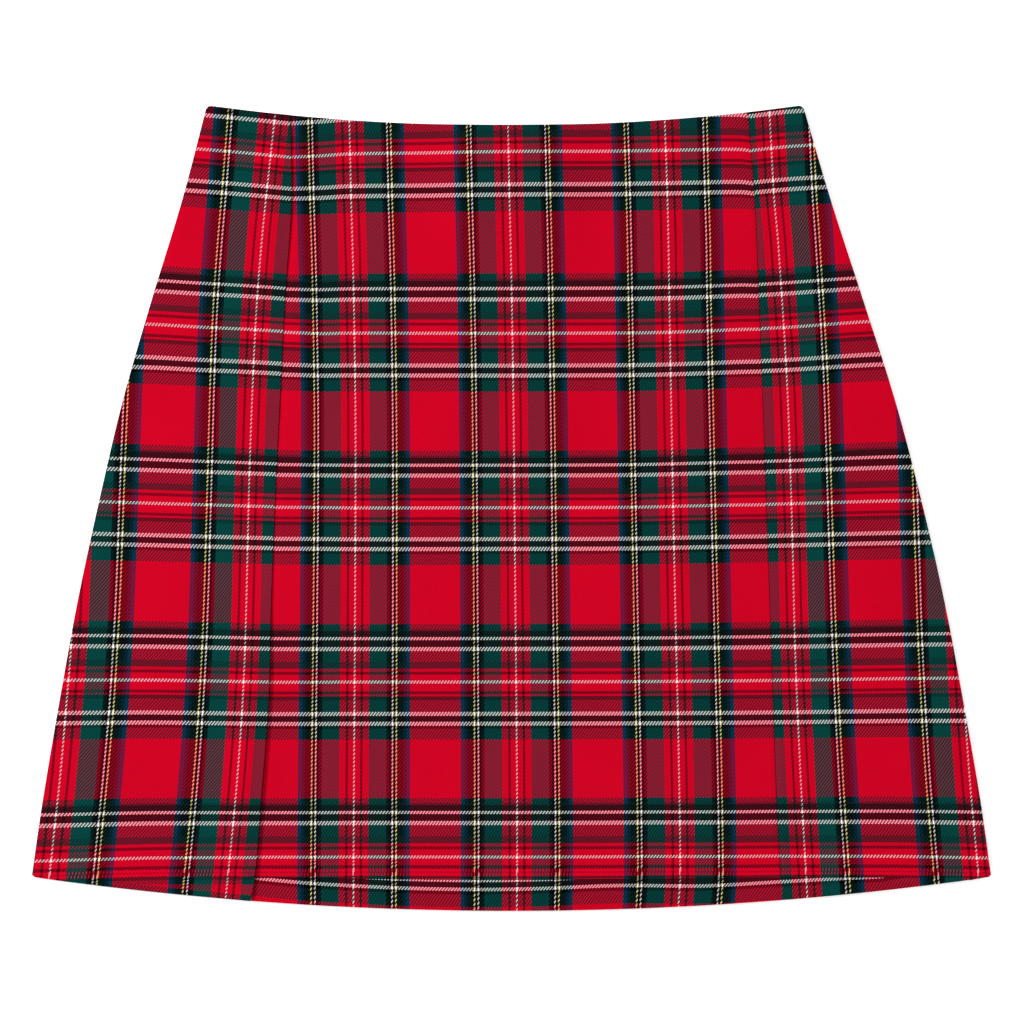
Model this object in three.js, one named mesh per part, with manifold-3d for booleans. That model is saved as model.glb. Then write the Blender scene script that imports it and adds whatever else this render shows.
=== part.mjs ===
// A-line mini skirt in a red tartan, laid flat with its front up.
//
// Three front panels meet at two princess seams, and a crescent-shaped band is
// let in along the front hem. Two back panels lie underneath and meet at a
// centre-back seam, which holds a concealed zip with its slider and pull tab.
//
// Millimetres. +X runs to the right of the laid front, +Y towards the waist and
// +Z up out of the cloth. The origin is under the middle of the whole skirt, on
// the surface that it lies on.

import * as THREE from 'three';
import { mergeVertices } from 'three/addons/utils/BufferGeometryUtils.js';
import Module from 'manifold-3d';

const manifold = await Module();
manifold.setup();

// ---------------------------------------------------------------- cloth

const WALL = 1.2; // cloth with its turned edges
const GAP = 0.3; // air between sewn pieces, and between layers
const HALF_LENGTH = 221.65; // middle of the skirt to its waist corners, or to its hem

// The waist edge dips in the middle and the hem is bowed.
const WAIST = { middleX: -3.6, halfWidth: 163.9, middleY: 210.65, dip: 11, power: 2.1 };
const HEM = { halfWidth: 264, bow: 18.7 };

// Where the long cut lines lie, at each drop below the waist corners.
const CUT_LINES = [
  { drop: 0, leftEdge: -167.5, leftSeam: -121.8, rightSeam: 129.8, rightEdge: 160.3 },
  { drop: 52, leftEdge: -181.1, leftSeam: -121.0, rightSeam: 133.9, rightEdge: 175.6 },
  { drop: 107, leftEdge: -197.9, leftSeam: -124.6, rightSeam: 136.3, rightEdge: 193.4 },
  { drop: 162, leftEdge: -213.7, leftSeam: -127.3, rightSeam: 138.3, rightEdge: 210.9 },
  { drop: 217, leftEdge: -226.7, leftSeam: -130.0, rightSeam: 140.2, rightEdge: 225.4 },
  { drop: 272, leftEdge: -238.5, leftSeam: -132.1, rightSeam: 142.1, rightEdge: 238.0 },
  { drop: 327, leftEdge: -248.5, leftSeam: -133.5, rightSeam: 144.0, rightEdge: 248.4 },
  { drop: 382, leftEdge: -257.8, leftSeam: -137.6, rightSeam: 145.9, rightEdge: 257.9 },
  { drop: 425, leftEdge: -264.0, leftSeam: -141.1, rightSeam: 148.2, rightEdge: 264.0 },
  { drop: 440, leftEdge: -265.8, leftSeam: -143.9, rightSeam: 149.4, rightEdge: 266.0 },
];

// The front hem band fills the bow below a seam that sags a little in the middle.
const BAND = { seamY: -203.2, sag: 1.4, sagReach: 120, tipX: 258 };

// The largest soft folds of the laid front: the line of each crest, its height
// over the resting cloth and how far it spreads to either side.
const FOLDS = [
  { name: 'roll beside the left seam, high', fromX: -128, fromY: 212, toX: -131, toY: 118, height: 1.3, spread: 8 },
  { name: 'roll beside the left seam, low', fromX: -140, fromY: -62, toX: -152, toY: -216, height: 1.9, spread: 9 },
  { name: 'left hip', fromX: -168, fromY: 78, toX: -206, toY: -138, height: 0.8, spread: 22 },
  { name: 'left of the middle', fromX: -72, fromY: 146, toX: -58, toY: -96, height: 0.9, spread: 34 },
  { name: 'middle of the hem', fromX: 6, fromY: -214, toX: -8, toY: -92, height: 0.8, spread: 26 },
  { name: 'right of the middle', fromX: 70, fromY: 128, toX: 92, toY: -164, height: 1.1, spread: 36 },
  { name: 'right hip', fromX: 172, fromY: 92, toX: 214, toY: -154, height: 0.9, spread: 22 },
];
const SEAM_DIP = { share: 0.8, spread: 6 }; // the folds flatten at the princess seams
const EDGE_REACH = 16; // and fade to nothing over this width at the side seams
const HEM_SHARE = 0.45; // what is left of them at the waist and hem edges
const HEM_REACH = 18;

// ---------------------------------------------------------------- zip

const ZIP = {
  x: -3.6, // the centre-back seam
  sliderDrop: 9, // middle of the slider below the waist edge
  tapeWidth: 24,
  tapeLength: 160,
  tapeThick: 1,
};
// The back bridges the pull tab, so that the rest of it lies flat.
const BAY = { rise: 1.9, flatWidth: 6, fadeWidth: 24, flatDrop: 30, fadeDrop: 32 };
const SLIDER = { width: 5, length: 8, thick: 1 };
// The bridge stands out of the seam as an arch, and the tab's cross bar turns under it.
const BRIDGE = { width: 0.9, length: 5.2, leg: 0.8, bar: 0.5, floor: 0.1 };
const TAB = { thick: 0.6, pivotZ: 1.05, bar: 0.6, windowEnd: 3.4, windowWidth: 1.7, topWidth: 3.2 };
const TAB_DROP = { length: 18, width: 5 };
const SLOT = { width: 1.7, length: 6.2 }; // left open in the seam round the bridge

// ---------------------------------------------------------------- cut lines

const lerp = THREE.MathUtils.lerp;
const smooth = (value, from, to) => THREE.MathUtils.smoothstep(value, from, to);

// A smooth line through one column of CUT_LINES, as x for a height y.
function cutLine(column) {
  const slopes = CUT_LINES.map((row, i) => {
    const before = CUT_LINES[Math.max(i - 1, 0)];
    const after = CUT_LINES[Math.min(i + 1, CUT_LINES.length - 1)];
    return (after[column] - before[column]) / (after.drop - before.drop);
  });
  return (y) => {
    const drop = THREE.MathUtils.clamp(HALF_LENGTH - y, 0, CUT_LINES.at(-1).drop);
    const i = Math.min(CUT_LINES.findLastIndex((row) => row.drop <= drop), CUT_LINES.length - 2);
    const span = CUT_LINES[i + 1].drop - CUT_LINES[i].drop;
    const u = (drop - CUT_LINES[i].drop) / span;
    return (
      (2 * u ** 3 - 3 * u ** 2 + 1) * CUT_LINES[i][column] +
      (u ** 3 - 2 * u ** 2 + u) * span * slopes[i] +
      (3 * u ** 2 - 2 * u ** 3) * CUT_LINES[i + 1][column] +
      (u ** 3 - u ** 2) * span * slopes[i + 1]
    );
  };
}

const leftEdge = cutLine('leftEdge');
const leftSeam = cutLine('leftSeam');
const rightSeam = cutLine('rightSeam');
const rightEdge = cutLine('rightEdge');
const beside = (line, offset) => (y) => line(y) + offset;
const upright = (x) => () => x;

const waist = (x) => {
  const share = Math.abs(x - WAIST.middleX) / WAIST.halfWidth;
  return WAIST.middleY + WAIST.dip * share ** WAIST.power;
};
const hem = (x) => -HALF_LENGTH + HEM.bow * (x / HEM.halfWidth) ** 2;
const bandSeam = (offset) => (x) =>
  BAND.seamY - BAND.sag * Math.exp(-((x / BAND.sagReach) ** 2)) + offset;

// ---------------------------------------------------------------- heights

// 1 within flat of a line, then fading to 0.
const plateau = (distance, flat, fade) => 1 - smooth(distance, flat, flat + fade);

const zipBay = (x, y, spare = 0) =>
  plateau(Math.abs(x - ZIP.x), BAY.flatWidth + spare, BAY.fadeWidth + spare) *
  plateau(waist(x) - y, BAY.flatDrop + spare, BAY.fadeDrop + spare);

const backUnder = (x, y) => BAY.rise * zipBay(x, y);

const tapeUnder = (x, y) => backUnder(x, y) + WALL + 1.5 * GAP;

function foldHeight(fold, x, y) {
  const along = new THREE.Vector2(fold.toX - fold.fromX, fold.toY - fold.fromY);
  const here = new THREE.Vector2(x - fold.fromX, y - fold.fromY);
  const share = THREE.MathUtils.clamp(here.dot(along) / along.lengthSq(), 0, 1);
  const off = here.distanceTo(along.clone().multiplyScalar(share));
  const crest = 0.55 + 0.45 * Math.sin(Math.PI * share); // lower towards its ends
  return fold.height * crest * Math.exp(-((off / fold.spread) ** 2));
}

function seamFlattening(x, y) {
  const off = Math.min(Math.abs(x - leftSeam(y)), Math.abs(x - rightSeam(y)));
  return 1 - SEAM_DIP.share * Math.exp(-((off / SEAM_DIP.spread) ** 2));
}

function edgeFading(x, y) {
  const side = Math.min(x - leftEdge(y), rightEdge(y) - x);
  const end = Math.min(waist(x) - y, y - hem(x));
  return smooth(side, 0, EDGE_REACH) * lerp(HEM_SHARE, 1, smooth(end, 0, HEM_REACH));
}

// The front lies on the back, and on the zip tape where that is.
function frontUnder(x, y) {
  const spare = 9;
  const tapeDepth = waist(x) - y;
  const overTape =
    plateau(Math.abs(x - ZIP.x), ZIP.tapeWidth / 2 + spare, 4 * spare) *
    plateau(tapeDepth, ZIP.tapeLength + spare, 5 * spare);
  const folds = FOLDS.reduce((sum, fold) => sum + foldHeight(fold, x, y), 0);
  return (
    WALL + GAP +
    (BAY.rise + GAP / 2) * zipBay(x, y, spare) +
    (ZIP.tapeThick + 2 * GAP) * overTape +
    folds * seamFlattening(x, y) * edgeFading(x, y)
  );
}

// ---------------------------------------------------------------- solids

// Where an edge line meets the waist, hem or band seam.
function corner(edge, level) {
  let y = level(0);
  for (let step = 0; step < 12; step += 1) y = level(edge(y));
  return y;
}

// One sewn piece: a wall over a grid that runs between two edge lines and two
// end lines. columns and rows are shares from 0 to 1.
function clothPiece({ columns, rows, left, right, low, high, under, wall = WALL }) {
  const leftLow = corner(left, low);
  const leftHigh = corner(left, high);
  const rightLow = corner(right, low);
  const rightHigh = corner(right, high);
  const points = rows.flatMap((t) =>
    columns.map((s) => {
      const x = lerp(left(lerp(leftLow, leftHigh, t)), right(lerp(rightLow, rightHigh, t)), s);
      const yLow = low(lerp(left(leftLow), right(rightLow), s));
      const yHigh = high(lerp(left(leftHigh), right(rightHigh), s));
      return [x, lerp(yLow, yHigh, t)];
    }),
  );
  const upper = points.flatMap(([x, y]) => [x, y, under(x, y) + wall]);
  const lower = points.flatMap(([x, y]) => [x, y, under(x, y)]);

  const wide = columns.length;
  const tall = rows.length;
  const count = wide * tall;
  const faces = [];
  for (let r = 0; r < tall - 1; r += 1) {
    for (let c = 0; c < wide - 1; c += 1) {
      const a = r * wide + c;
      faces.push(a, a + 1, a + wide + 1, a, a + wide + 1, a + wide);
      faces.push(count + a, count + a + wide + 1, count + a + 1);
      faces.push(count + a, count + a + wide, count + a + wide + 1);
    }
  }
  const rim = [
    ...columns.map((_, c) => c),
    ...rows.slice(1).map((_, r) => (r + 1) * wide + wide - 1),
    ...columns.slice(1).map((_, c) => count - 2 - c),
    ...rows.slice(1, -1).map((_, r) => (tall - 2 - r) * wide),
  ];
  rim.forEach((a, i) => {
    const b = rim[(i + 1) % rim.length];
    faces.push(a, count + a, count + b, a, count + b, b);
  });
  const geometry = new THREE.BufferGeometry();
  geometry.setAttribute('position', new THREE.Float32BufferAttribute([...upper, ...lower], 3));
  geometry.setIndex(faces);
  return geometry;
}

const shares = (count) => Array.from({ length: count + 1 }, (_, i) => i / count);
const closerAtWaist = (count) => shares(count).map((u) => u * (1.35 - 0.35 * u));
const closerInMiddle = (count) =>
  shares(count).map((u) => 0.5 + (u - 0.5) * (0.55 + 1.8 * (u - 0.5) ** 2));
const closerAtStart = (count) => shares(count).map((u) => u ** 1.5);
const closerAtEnd = (count) => closerAtStart(count).map((u) => 1 - u).reverse();

function toSolid(geometry) {
  const bare = geometry.clone();
  bare.deleteAttribute('normal');
  bare.deleteAttribute('uv');
  const merged = mergeVertices(bare, 1e-5);
  return new manifold.Manifold(new manifold.Mesh({
    numProp: 3,
    vertProperties: new Float32Array(merged.attributes.position.array),
    triVerts: new Uint32Array(merged.index.array),
  }));
}

function toGeometry(solid) {
  const mesh = solid.getMesh();
  const geometry = new THREE.BufferGeometry();
  geometry.setAttribute('position', new THREE.BufferAttribute(mesh.vertProperties, 3));
  geometry.setIndex(new THREE.BufferAttribute(mesh.triVerts, 1));
  return geometry;
}

const cut = (geometry, tool) => toGeometry(toSolid(geometry).subtract(toSolid(tool)));
const join = (one, other) => toGeometry(toSolid(one).add(toSolid(other)));

function block(width, length, height, x, y, z) {
  return new THREE.BoxGeometry(width, length, height).translate(x, y, z);
}

// ---------------------------------------------------------------- fronts

const side = { columns: shares(9), rows: closerAtWaist(28), under: frontUnder };

function frontSideLeft() {
  return clothPiece({ ...side, left: leftEdge, right: beside(leftSeam, -GAP / 2), low: hem, high: waist });
}

function frontSideRight() {
  const low = (x) => Math.max(bandSeam(GAP / 2)(x), hem(x));
  return clothPiece({ ...side, left: beside(rightSeam, GAP / 2), right: rightEdge, low, high: waist });
}

function frontCentre() {
  return clothPiece({
    columns: closerInMiddle(24),
    rows: closerAtWaist(32),
    left: beside(leftSeam, GAP / 2),
    right: beside(rightSeam, -GAP / 2),
    low: bandSeam(GAP / 2),
    high: waist,
    under: frontUnder,
  });
}

function frontHemBand() {
  return clothPiece({
    columns: shares(34),
    rows: shares(2),
    left: beside(leftSeam, GAP / 2),
    right: upright(BAND.tipX),
    low: hem,
    high: bandSeam(-GAP / 2),
    under: frontUnder,
  });
}

// ---------------------------------------------------------------- back and zip

const sliderY = waist(ZIP.x) - ZIP.sliderDrop;
const slot = block(SLOT.width, SLOT.length, 30, ZIP.x, sliderY, 0);

function backLeft() {
  const panel = clothPiece({
    columns: closerAtEnd(14),
    rows: closerAtWaist(26),
    left: leftEdge,
    right: upright(ZIP.x - GAP / 2),
    low: hem,
    high: waist,
    under: backUnder,
  });
  return cut(panel, slot);
}

function backRight() {
  const panel = clothPiece({
    columns: closerAtStart(14),
    rows: closerAtWaist(26),
    left: upright(ZIP.x + GAP / 2),
    right: rightEdge,
    low: hem,
    high: waist,
    under: backUnder,
  });
  return cut(panel, slot);
}

// Both tapes and the closed coil between them, inside the back.
function zipTape() {
  const tape = clothPiece({
    columns: shares(6),
    rows: shares(20),
    left: upright(ZIP.x - ZIP.tapeWidth / 2),
    right: upright(ZIP.x + ZIP.tapeWidth / 2),
    low: () => sliderY - ZIP.tapeLength,
    high: (x) => waist(x) - 1,
    under: tapeUnder,
    wall: ZIP.tapeThick,
  });
  const room = block(SLIDER.width + 2 * GAP, SLIDER.length + 2 * GAP, 30, ZIP.x, sliderY, 0);
  return cut(tape, room);
}

// The slider's body sits in the tape, and its bridge reaches out through the seam.
function zipSlider() {
  const bodyZ = BAY.rise + WALL + GAP;
  const body = block(SLIDER.width, SLIDER.length, SLIDER.thick, ZIP.x, sliderY, bodyZ + SLIDER.thick / 2);
  const arch = new THREE.Shape();
  const half = BRIDGE.length / 2;
  const inside = half - BRIDGE.leg;
  const top = bodyZ + SLIDER.thick / 2;
  const mouth = BRIDGE.floor + BRIDGE.bar;
  arch.moveTo(-half, BRIDGE.floor);
  arch.lineTo(half, BRIDGE.floor);
  arch.lineTo(half, top);
  arch.lineTo(inside, top);
  arch.lineTo(inside, mouth);
  arch.lineTo(-inside, mouth);
  arch.lineTo(-inside, top);
  arch.lineTo(-half, top);
  const bridge = new THREE.ExtrudeGeometry(arch, { depth: BRIDGE.width, bevelEnabled: false })
    .translate(0, 0, -BRIDGE.width / 2)
    .rotateX(Math.PI / 2)
    .rotateZ(Math.PI / 2)
    .translate(ZIP.x, sliderY, 0);
  return join(body, bridge);
}

// A teardrop tab hung by its cross bar. It is drawn with its pivot at the origin.
function zipTab() {
  const outline = new THREE.Shape();
  const barTop = TAB.bar / 2;
  const neck = -TAB.windowEnd - 1;
  const round = TAB_DROP.width / 2;
  const roundY = -TAB_DROP.length + round;
  outline.moveTo(-TAB.topWidth / 2, barTop);
  outline.lineTo(-TAB.topWidth / 2, neck);
  outline.lineTo(-round, roundY);
  outline.absarc(0, roundY, round, Math.PI, 2 * Math.PI, false);
  outline.lineTo(TAB.topWidth / 2, neck);
  outline.lineTo(TAB.topWidth / 2, barTop);
  const window = new THREE.Path();
  window.moveTo(-TAB.windowWidth / 2, -barTop);
  window.lineTo(TAB.windowWidth / 2, -barTop);
  window.lineTo(TAB.windowWidth / 2, -TAB.windowEnd);
  window.lineTo(-TAB.windowWidth / 2, -TAB.windowEnd);
  outline.holes.push(window);
  return new THREE.ExtrudeGeometry(outline, { depth: TAB.thick, bevelEnabled: false, curveSegments: 10 })
    .translate(0, 0, -TAB.thick / 2);
}

// ---------------------------------------------------------------- scene graph

const TARTAN = { color: '#a3121f', roughness: 0.85, metalness: 0 };
const LACQUER = { color: '#8e0f1b', roughness: 0.4, metalness: 0.6 };
const TAPE = { color: '#7d1018', roughness: 0.9, metalness: 0 };

function named(name, geometry, finish) {
  geometry.computeVertexNormals();
  const mesh = new THREE.Mesh(geometry, new THREE.MeshStandardMaterial(finish));
  mesh.name = name;
  return mesh;
}

const fronts = new THREE.Group();
fronts.add(
  named('front_centre', frontCentre(), TARTAN),
  named('front_side_left', frontSideLeft(), TARTAN),
  named('front_side_right', frontSideRight(), TARTAN),
  named('front_hem_band', frontHemBand(), TARTAN),
);

const backs = new THREE.Group();
backs.add(
  named('back_left', backLeft(), TARTAN),
  named('back_right', backRight(), TARTAN),
);

const tab = named('zip_pull_tab', zipTab(), LACQUER);
tab.position.set(ZIP.x, sliderY, TAB.pivotZ);

const zip = new THREE.Group();
zip.add(
  named('zip_tape', zipTape(), TAPE),
  named('zip_slider', zipSlider(), LACQUER),
  tab,
);

const skirt = new THREE.Group();
skirt.add(fronts, backs, zip);
export default skirt;
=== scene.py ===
# %% [markdown]
# # A tartan mini skirt, laid flat
#
# The skirt is sewn from flat panels: a centre front, two side fronts, a thin
# crescent let in along the front hem and two plain backs with a concealed zip.
# Each panel is one thin shell of cloth that carries its own map of the weave, so
# that the stripes run where the cutter laid them and break at the seams.
#
# Lengths in the tables are in millimetres: x to the right of the laid front, y
# towards the waist and z up out of the cloth.

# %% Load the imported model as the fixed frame
import math

import bmesh
import bpy
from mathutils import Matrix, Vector, noise


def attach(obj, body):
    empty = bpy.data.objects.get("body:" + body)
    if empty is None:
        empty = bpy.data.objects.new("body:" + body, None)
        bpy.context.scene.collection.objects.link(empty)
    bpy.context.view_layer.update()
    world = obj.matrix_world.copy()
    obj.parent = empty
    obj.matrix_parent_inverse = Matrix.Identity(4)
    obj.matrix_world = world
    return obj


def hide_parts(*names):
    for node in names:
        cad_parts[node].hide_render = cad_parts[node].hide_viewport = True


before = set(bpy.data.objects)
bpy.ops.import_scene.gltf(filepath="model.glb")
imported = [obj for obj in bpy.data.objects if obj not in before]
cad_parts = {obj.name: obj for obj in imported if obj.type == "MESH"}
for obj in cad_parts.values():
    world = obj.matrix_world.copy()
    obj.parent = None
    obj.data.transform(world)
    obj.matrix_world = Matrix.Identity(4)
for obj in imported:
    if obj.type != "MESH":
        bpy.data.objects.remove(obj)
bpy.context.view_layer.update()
MM = 0.001
print("nodes:", sorted(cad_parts))

# %% [markdown]
# ## Camera
#
# The skirt is seen from straight above. A long lens from three metres keeps the
# sides from leaning, as a copy stand does. The view is 563 mm wide at the cloth.

# %% Camera
VIEW_WIDTH = 563.2
VIEW_MIDDLE = (0.3, -2.2)
VIEW_DISTANCE = 3000.0
CLOTH_LEVEL = 3.0
SENSOR = 36.0

camera_data = bpy.data.cameras.new("copy_stand_camera")
camera_data.sensor_width = SENSOR
camera_data.lens = SENSOR * VIEW_DISTANCE / VIEW_WIDTH
camera_data.clip_end = 20.0
camera = bpy.data.objects.new("copy_stand_camera", camera_data)
camera.location = (VIEW_MIDDLE[0] * MM, VIEW_MIDDLE[1] * MM, (VIEW_DISTANCE + CLOTH_LEVEL) * MM)
bpy.context.scene.collection.objects.link(camera)
bpy.context.scene.camera = camera
print("lens", round(camera_data.lens, 1), "mm")

# %% [markdown]
# ## Materials: two small helpers
#
# Colours are written as sRGB hex, as a dyer would match them on a screen, and
# one function turns them linear. Another adds a shader node with its settings and
# its links, so that a material reads from top to bottom like a recipe.


# %% Colour and node helpers
def linear(hex_colour):
    """The linear RGBA of an sRGB hex colour."""
    channels = [int(hex_colour[i : i + 2], 16) / 255 for i in (1, 3, 5)]
    bent = [c / 12.92 if c <= 0.04045 else ((c + 0.055) / 1.055) ** 2.4 for c in channels]
    return (*bent, 1.0)


def add(tree, kind, sockets=(), **settings):
    """Adds a node. sockets are values, nodes or outputs, in a list or by socket name."""
    node = tree.nodes.new("ShaderNode" + kind)
    for name, value in settings.items():
        setattr(node, name, value)
    pairs = sockets.items() if isinstance(sockets, dict) else enumerate(sockets)
    for key, value in pairs:
        if isinstance(value, bpy.types.Node):
            value = value.outputs[0]
        if isinstance(value, bpy.types.NodeSocket):
            tree.links.new(value, node.inputs[key])
        elif value is not None:
            node.inputs[key].default_value = value
    return node


def new_material(name):
    material = bpy.data.materials.new(name)
    material.use_nodes = True
    material.node_tree.nodes.clear()
    return material, material.node_tree


DYE, THREADS, SHADE = range(3)  # columns of a thread count


def set_steps(ramp, stripes, column):
    """Flat steps of one column, as wide as the threads of each stripe."""
    ramp.color_ramp.interpolation = "CONSTANT"
    points = ramp.color_ramp.elements
    total = sum(stripe[THREADS] for stripe in stripes)
    start = 0
    for i, stripe in enumerate(stripes):
        point = points[i] if i < 2 else points.new(start / total)
        point.position = start / total
        point.color = linear(stripe[column])
        start += stripe[THREADS]


# %% [markdown]
# ## Pieces: two small helpers
#
# Every piece is shaped as a bmesh, in place, and then becomes an object that stays
# at the origin. Its sharp edges are rounded by a bevel, as wide as cloth turns or
# as metal is cast.


# %% Helpers for a piece
def place_piece(bm, name, material):
    """A smooth-shaded object at the origin, made of the finished bmesh."""
    mesh = bpy.data.meshes.new(name)
    bm.to_mesh(mesh)
    bm.free()
    mesh.shade_smooth()
    mesh.materials.append(material)
    piece = bpy.data.objects.new(name, mesh)
    bpy.context.scene.collection.objects.link(piece)
    return piece


def round_edges(piece, name, width, angle):
    """Rounds, over width mm, each edge that turns by more than angle degrees."""
    turned = piece.modifiers.new(name, "BEVEL")
    turned.width = width * MM
    turned.segments = 3
    turned.limit_method = "ANGLE"
    turned.angle_limit = math.radians(angle)
    turned.harden_normals = True


# %% [markdown]
# ## Floor and light
#
# The skirt lies on a pale sheet under soft, even light. One large lamp stands on
# the left: it is what gives the seams and the soft folds a dark side. The sheet is
# matt paper lit from behind, an even white ground with hardly a shadow on it.

# %% Floor and light
FLOOR_SIZE = 6.0
FLOOR_LEVEL = -0.1 * MM
LAMP_DIRECTION = Vector((-0.76, 0.26, 0.60)).normalized()
LAMP_DISTANCE = 4.0
LAMP_SIZE = 1.1
LAMP_WATTS = 135.0
SKY_STRENGTH = 0.775
PAPER_GLOW = 0.4

paper, tree = new_material("backlit_white_paper")
matt = add(tree, "BsdfDiffuse", {"Color": linear("#F8F8F8")})
glow = add(tree, "Emission", {"Strength": PAPER_GLOW})
shader = add(tree, "AddShader", [matt, glow])
add(tree, "OutputMaterial", {"Surface": shader})

bm = bmesh.new()
bmesh.ops.create_grid(bm, x_segments=1, y_segments=1, size=FLOOR_SIZE / 2)
floor = place_piece(bm, "pale_floor", paper)
floor.location.z = FLOOR_LEVEL

lamp_data = bpy.data.lights.new("left_lamp", "AREA")
lamp_data.shape = "DISK"
lamp_data.size = LAMP_SIZE
lamp_data.energy = LAMP_WATTS
lamp = bpy.data.objects.new("left_lamp", lamp_data)
lamp.location = LAMP_DIRECTION * LAMP_DISTANCE
lamp.rotation_euler = LAMP_DIRECTION.to_track_quat("Z", "Y").to_euler()
bpy.context.scene.collection.objects.link(lamp)

world = bpy.data.worlds.new("even_sky")
world.use_nodes = True
world.node_tree.nodes.clear()
sky = add(world.node_tree, "Background", {"Color": (1, 1, 1, 1), "Strength": SKY_STRENGTH})
add(world.node_tree, "OutputWorld", {"Surface": sky})
bpy.context.scene.world = world
bpy.context.scene.view_settings.view_transform = "Standard"
print("lamp stands", round(lamp.location.z, 2), "m above the sheet")

# %% [markdown]
# ## The tartan
#
# A tartan is a thread count: so many ends of red, so many of blue, and so on. The
# warp runs up the skirt and its count is mirrored about a white pivot line. The
# weft runs across it, and its count is not quite mirrored. The cloth is a 2/2
# twill: each thread passes over two and under two, one step along at each pick,
# which draws the fine slanting lines. Where two colours cross, half of each shows,
# so green over red turns brown and white lines turn into dashes.
#
# The counts could be painted as an image, but threads are worked out here from the
# weave map, so they stay sharp at any distance.

# %% Thread counts
RED, MAROON, WARP_GREEN, WEFT_GREEN = "#C60630", "#52101A", "#054A45", "#042D2C"
BLACK, SOFT_BLACK, GREEN_BLACK, DEEP_GREEN = "#060A0A", "#161D1D", "#102A27", "#163A38"
NAVY, BLUE, YELLOW, WHITE = "#07263A", "#0C3E5C", "#F6EE92", "#F5F3EC"

# The painted shade that each yarn puts on the thread that crosses over it: loose red
# fibre reddens its neighbours, and the greys of tightly packed dark yarn paint them darker.
BY_RED, BY_GREEN, BY_SOFT_GREEN, BY_PALE = "#FF90BE", "#D8DEDE", "#F6E6E6", "#E6CCCC"
BY_OPEN, BY_DARK, BY_BLUE = "#C8C8C8", "#BEBEBE", "#B4CCF0"
BY_CLOSE, BY_DENSE, BY_SOLID = "#A8A8A8", "#7C7C7C", "#616161"

# From the white pivot line to the middle of the red square, in warp ends.
WARP_COUNT = [
    (WHITE, 1, BY_PALE), (RED, 7, BY_RED), (MAROON, 3, BY_DARK), (RED, 8, BY_RED),
    (WARP_GREEN, 23, BY_GREEN), (BLACK, 4, BY_OPEN), (BLACK, 3, BY_DENSE), (WHITE, 2, BY_PALE),
    (BLACK, 3, BY_SOLID), (YELLOW, 2, BY_PALE), (BLACK, 1, BY_DENSE), (BLACK, 7, BY_DARK),
    (NAVY, 4, BY_DARK), (BLUE, 5, BY_BLUE), (RED, 33, BY_RED),
]  # fmt: skip
# From the white pivot line up to the next one, in weft picks.
WEFT_COUNT = [
    (WHITE, 2, BY_PALE), (RED, 6, BY_RED), (MAROON, 3, BY_DARK), (RED, 3, BY_RED),
    (DEEP_GREEN, 7, BY_CLOSE), (WEFT_GREEN, 10, BY_SOFT_GREEN), (WHITE, 5, BY_PALE),
    (SOFT_BLACK, 6, BY_DENSE), (WHITE, 4, BY_PALE), (GREEN_BLACK, 5, BY_SOLID),
    (DEEP_GREEN, 3, BY_CLOSE), (WEFT_GREEN, 5, BY_SOFT_GREEN), (RED, 59, BY_RED),
    (WEFT_GREEN, 10, BY_SOFT_GREEN), (BLACK, 4, BY_DARK), (WHITE, 4, BY_PALE),
    (SOFT_BLACK, 6, BY_DENSE), (WHITE, 4, BY_PALE), (WEFT_GREEN, 12, BY_SOFT_GREEN),
    (WEFT_GREEN, 4, BY_CLOSE), (RED, 2, BY_RED), (MAROON, 3, BY_DARK), (RED, 7, BY_RED),
    (WHITE, 2, BY_PALE),
]  # fmt: skip
ENDS = 2 * sum(threads for _, threads, _ in WARP_COUNT)
PICKS = sum(threads for _, threads, _ in WEFT_COUNT)
WARP_REPEAT = 88.0
WEFT_REPEAT = 96.4
print(ENDS, "ends", round(WARP_REPEAT / ENDS, 3), "mm apart;", PICKS, "picks",
      round(WEFT_REPEAT / PICKS, 3), "mm apart")  # fmt: skip

# %% [markdown]
# ## The weave, thread by thread
#
# The weave map counts repeats of the tartan. Multiplied by the number of threads it
# tells which end and which pick cross at a point, how far over each thread the
# point lies, and which of the two is on top. Each float is two threads long. It is
# round across and arched along, and its colour is painted brightest along its middle
# and dark where it dives under its neighbour: a painted highlight and painted shade.


# %% Threads of the weave
def thread_grid(tree):
    """The end and pick at a point, how far over each, and which is on top."""
    weave = add(tree, "UVMap", uv_map="weave")
    place = add(tree, "SeparateXYZ", [weave])
    ends = add(tree, "Math", [place.outputs["X"], ENDS], operation="MULTIPLY")
    picks = add(tree, "Math", [place.outputs["Y"], PICKS], operation="MULTIPLY")
    grid = {"repeats": place.outputs["X"]}
    grid["end"] = add(tree, "Math", [ends], operation="FLOOR")
    grid["pick"] = add(tree, "Math", [picks], operation="FLOOR")
    grid["over_end"] = add(tree, "Math", [ends], operation="FRACT")
    grid["over_pick"] = add(tree, "Math", [picks], operation="FRACT")

    # The step along the twill, 0 to 3: the warp is on top at 0 and 1.
    slant = add(tree, "Math", [grid["end"], grid["pick"]], operation="SUBTRACT")
    middle = add(tree, "Math", [slant, 0.5], operation="ADD")
    grid["step"] = add(tree, "Math", [middle, 4.0, 0.0], operation="WRAP")
    grid["warp_up"] = add(tree, "Math", [grid["step"], 2.0], operation="LESS_THAN")
    return grid


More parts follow.
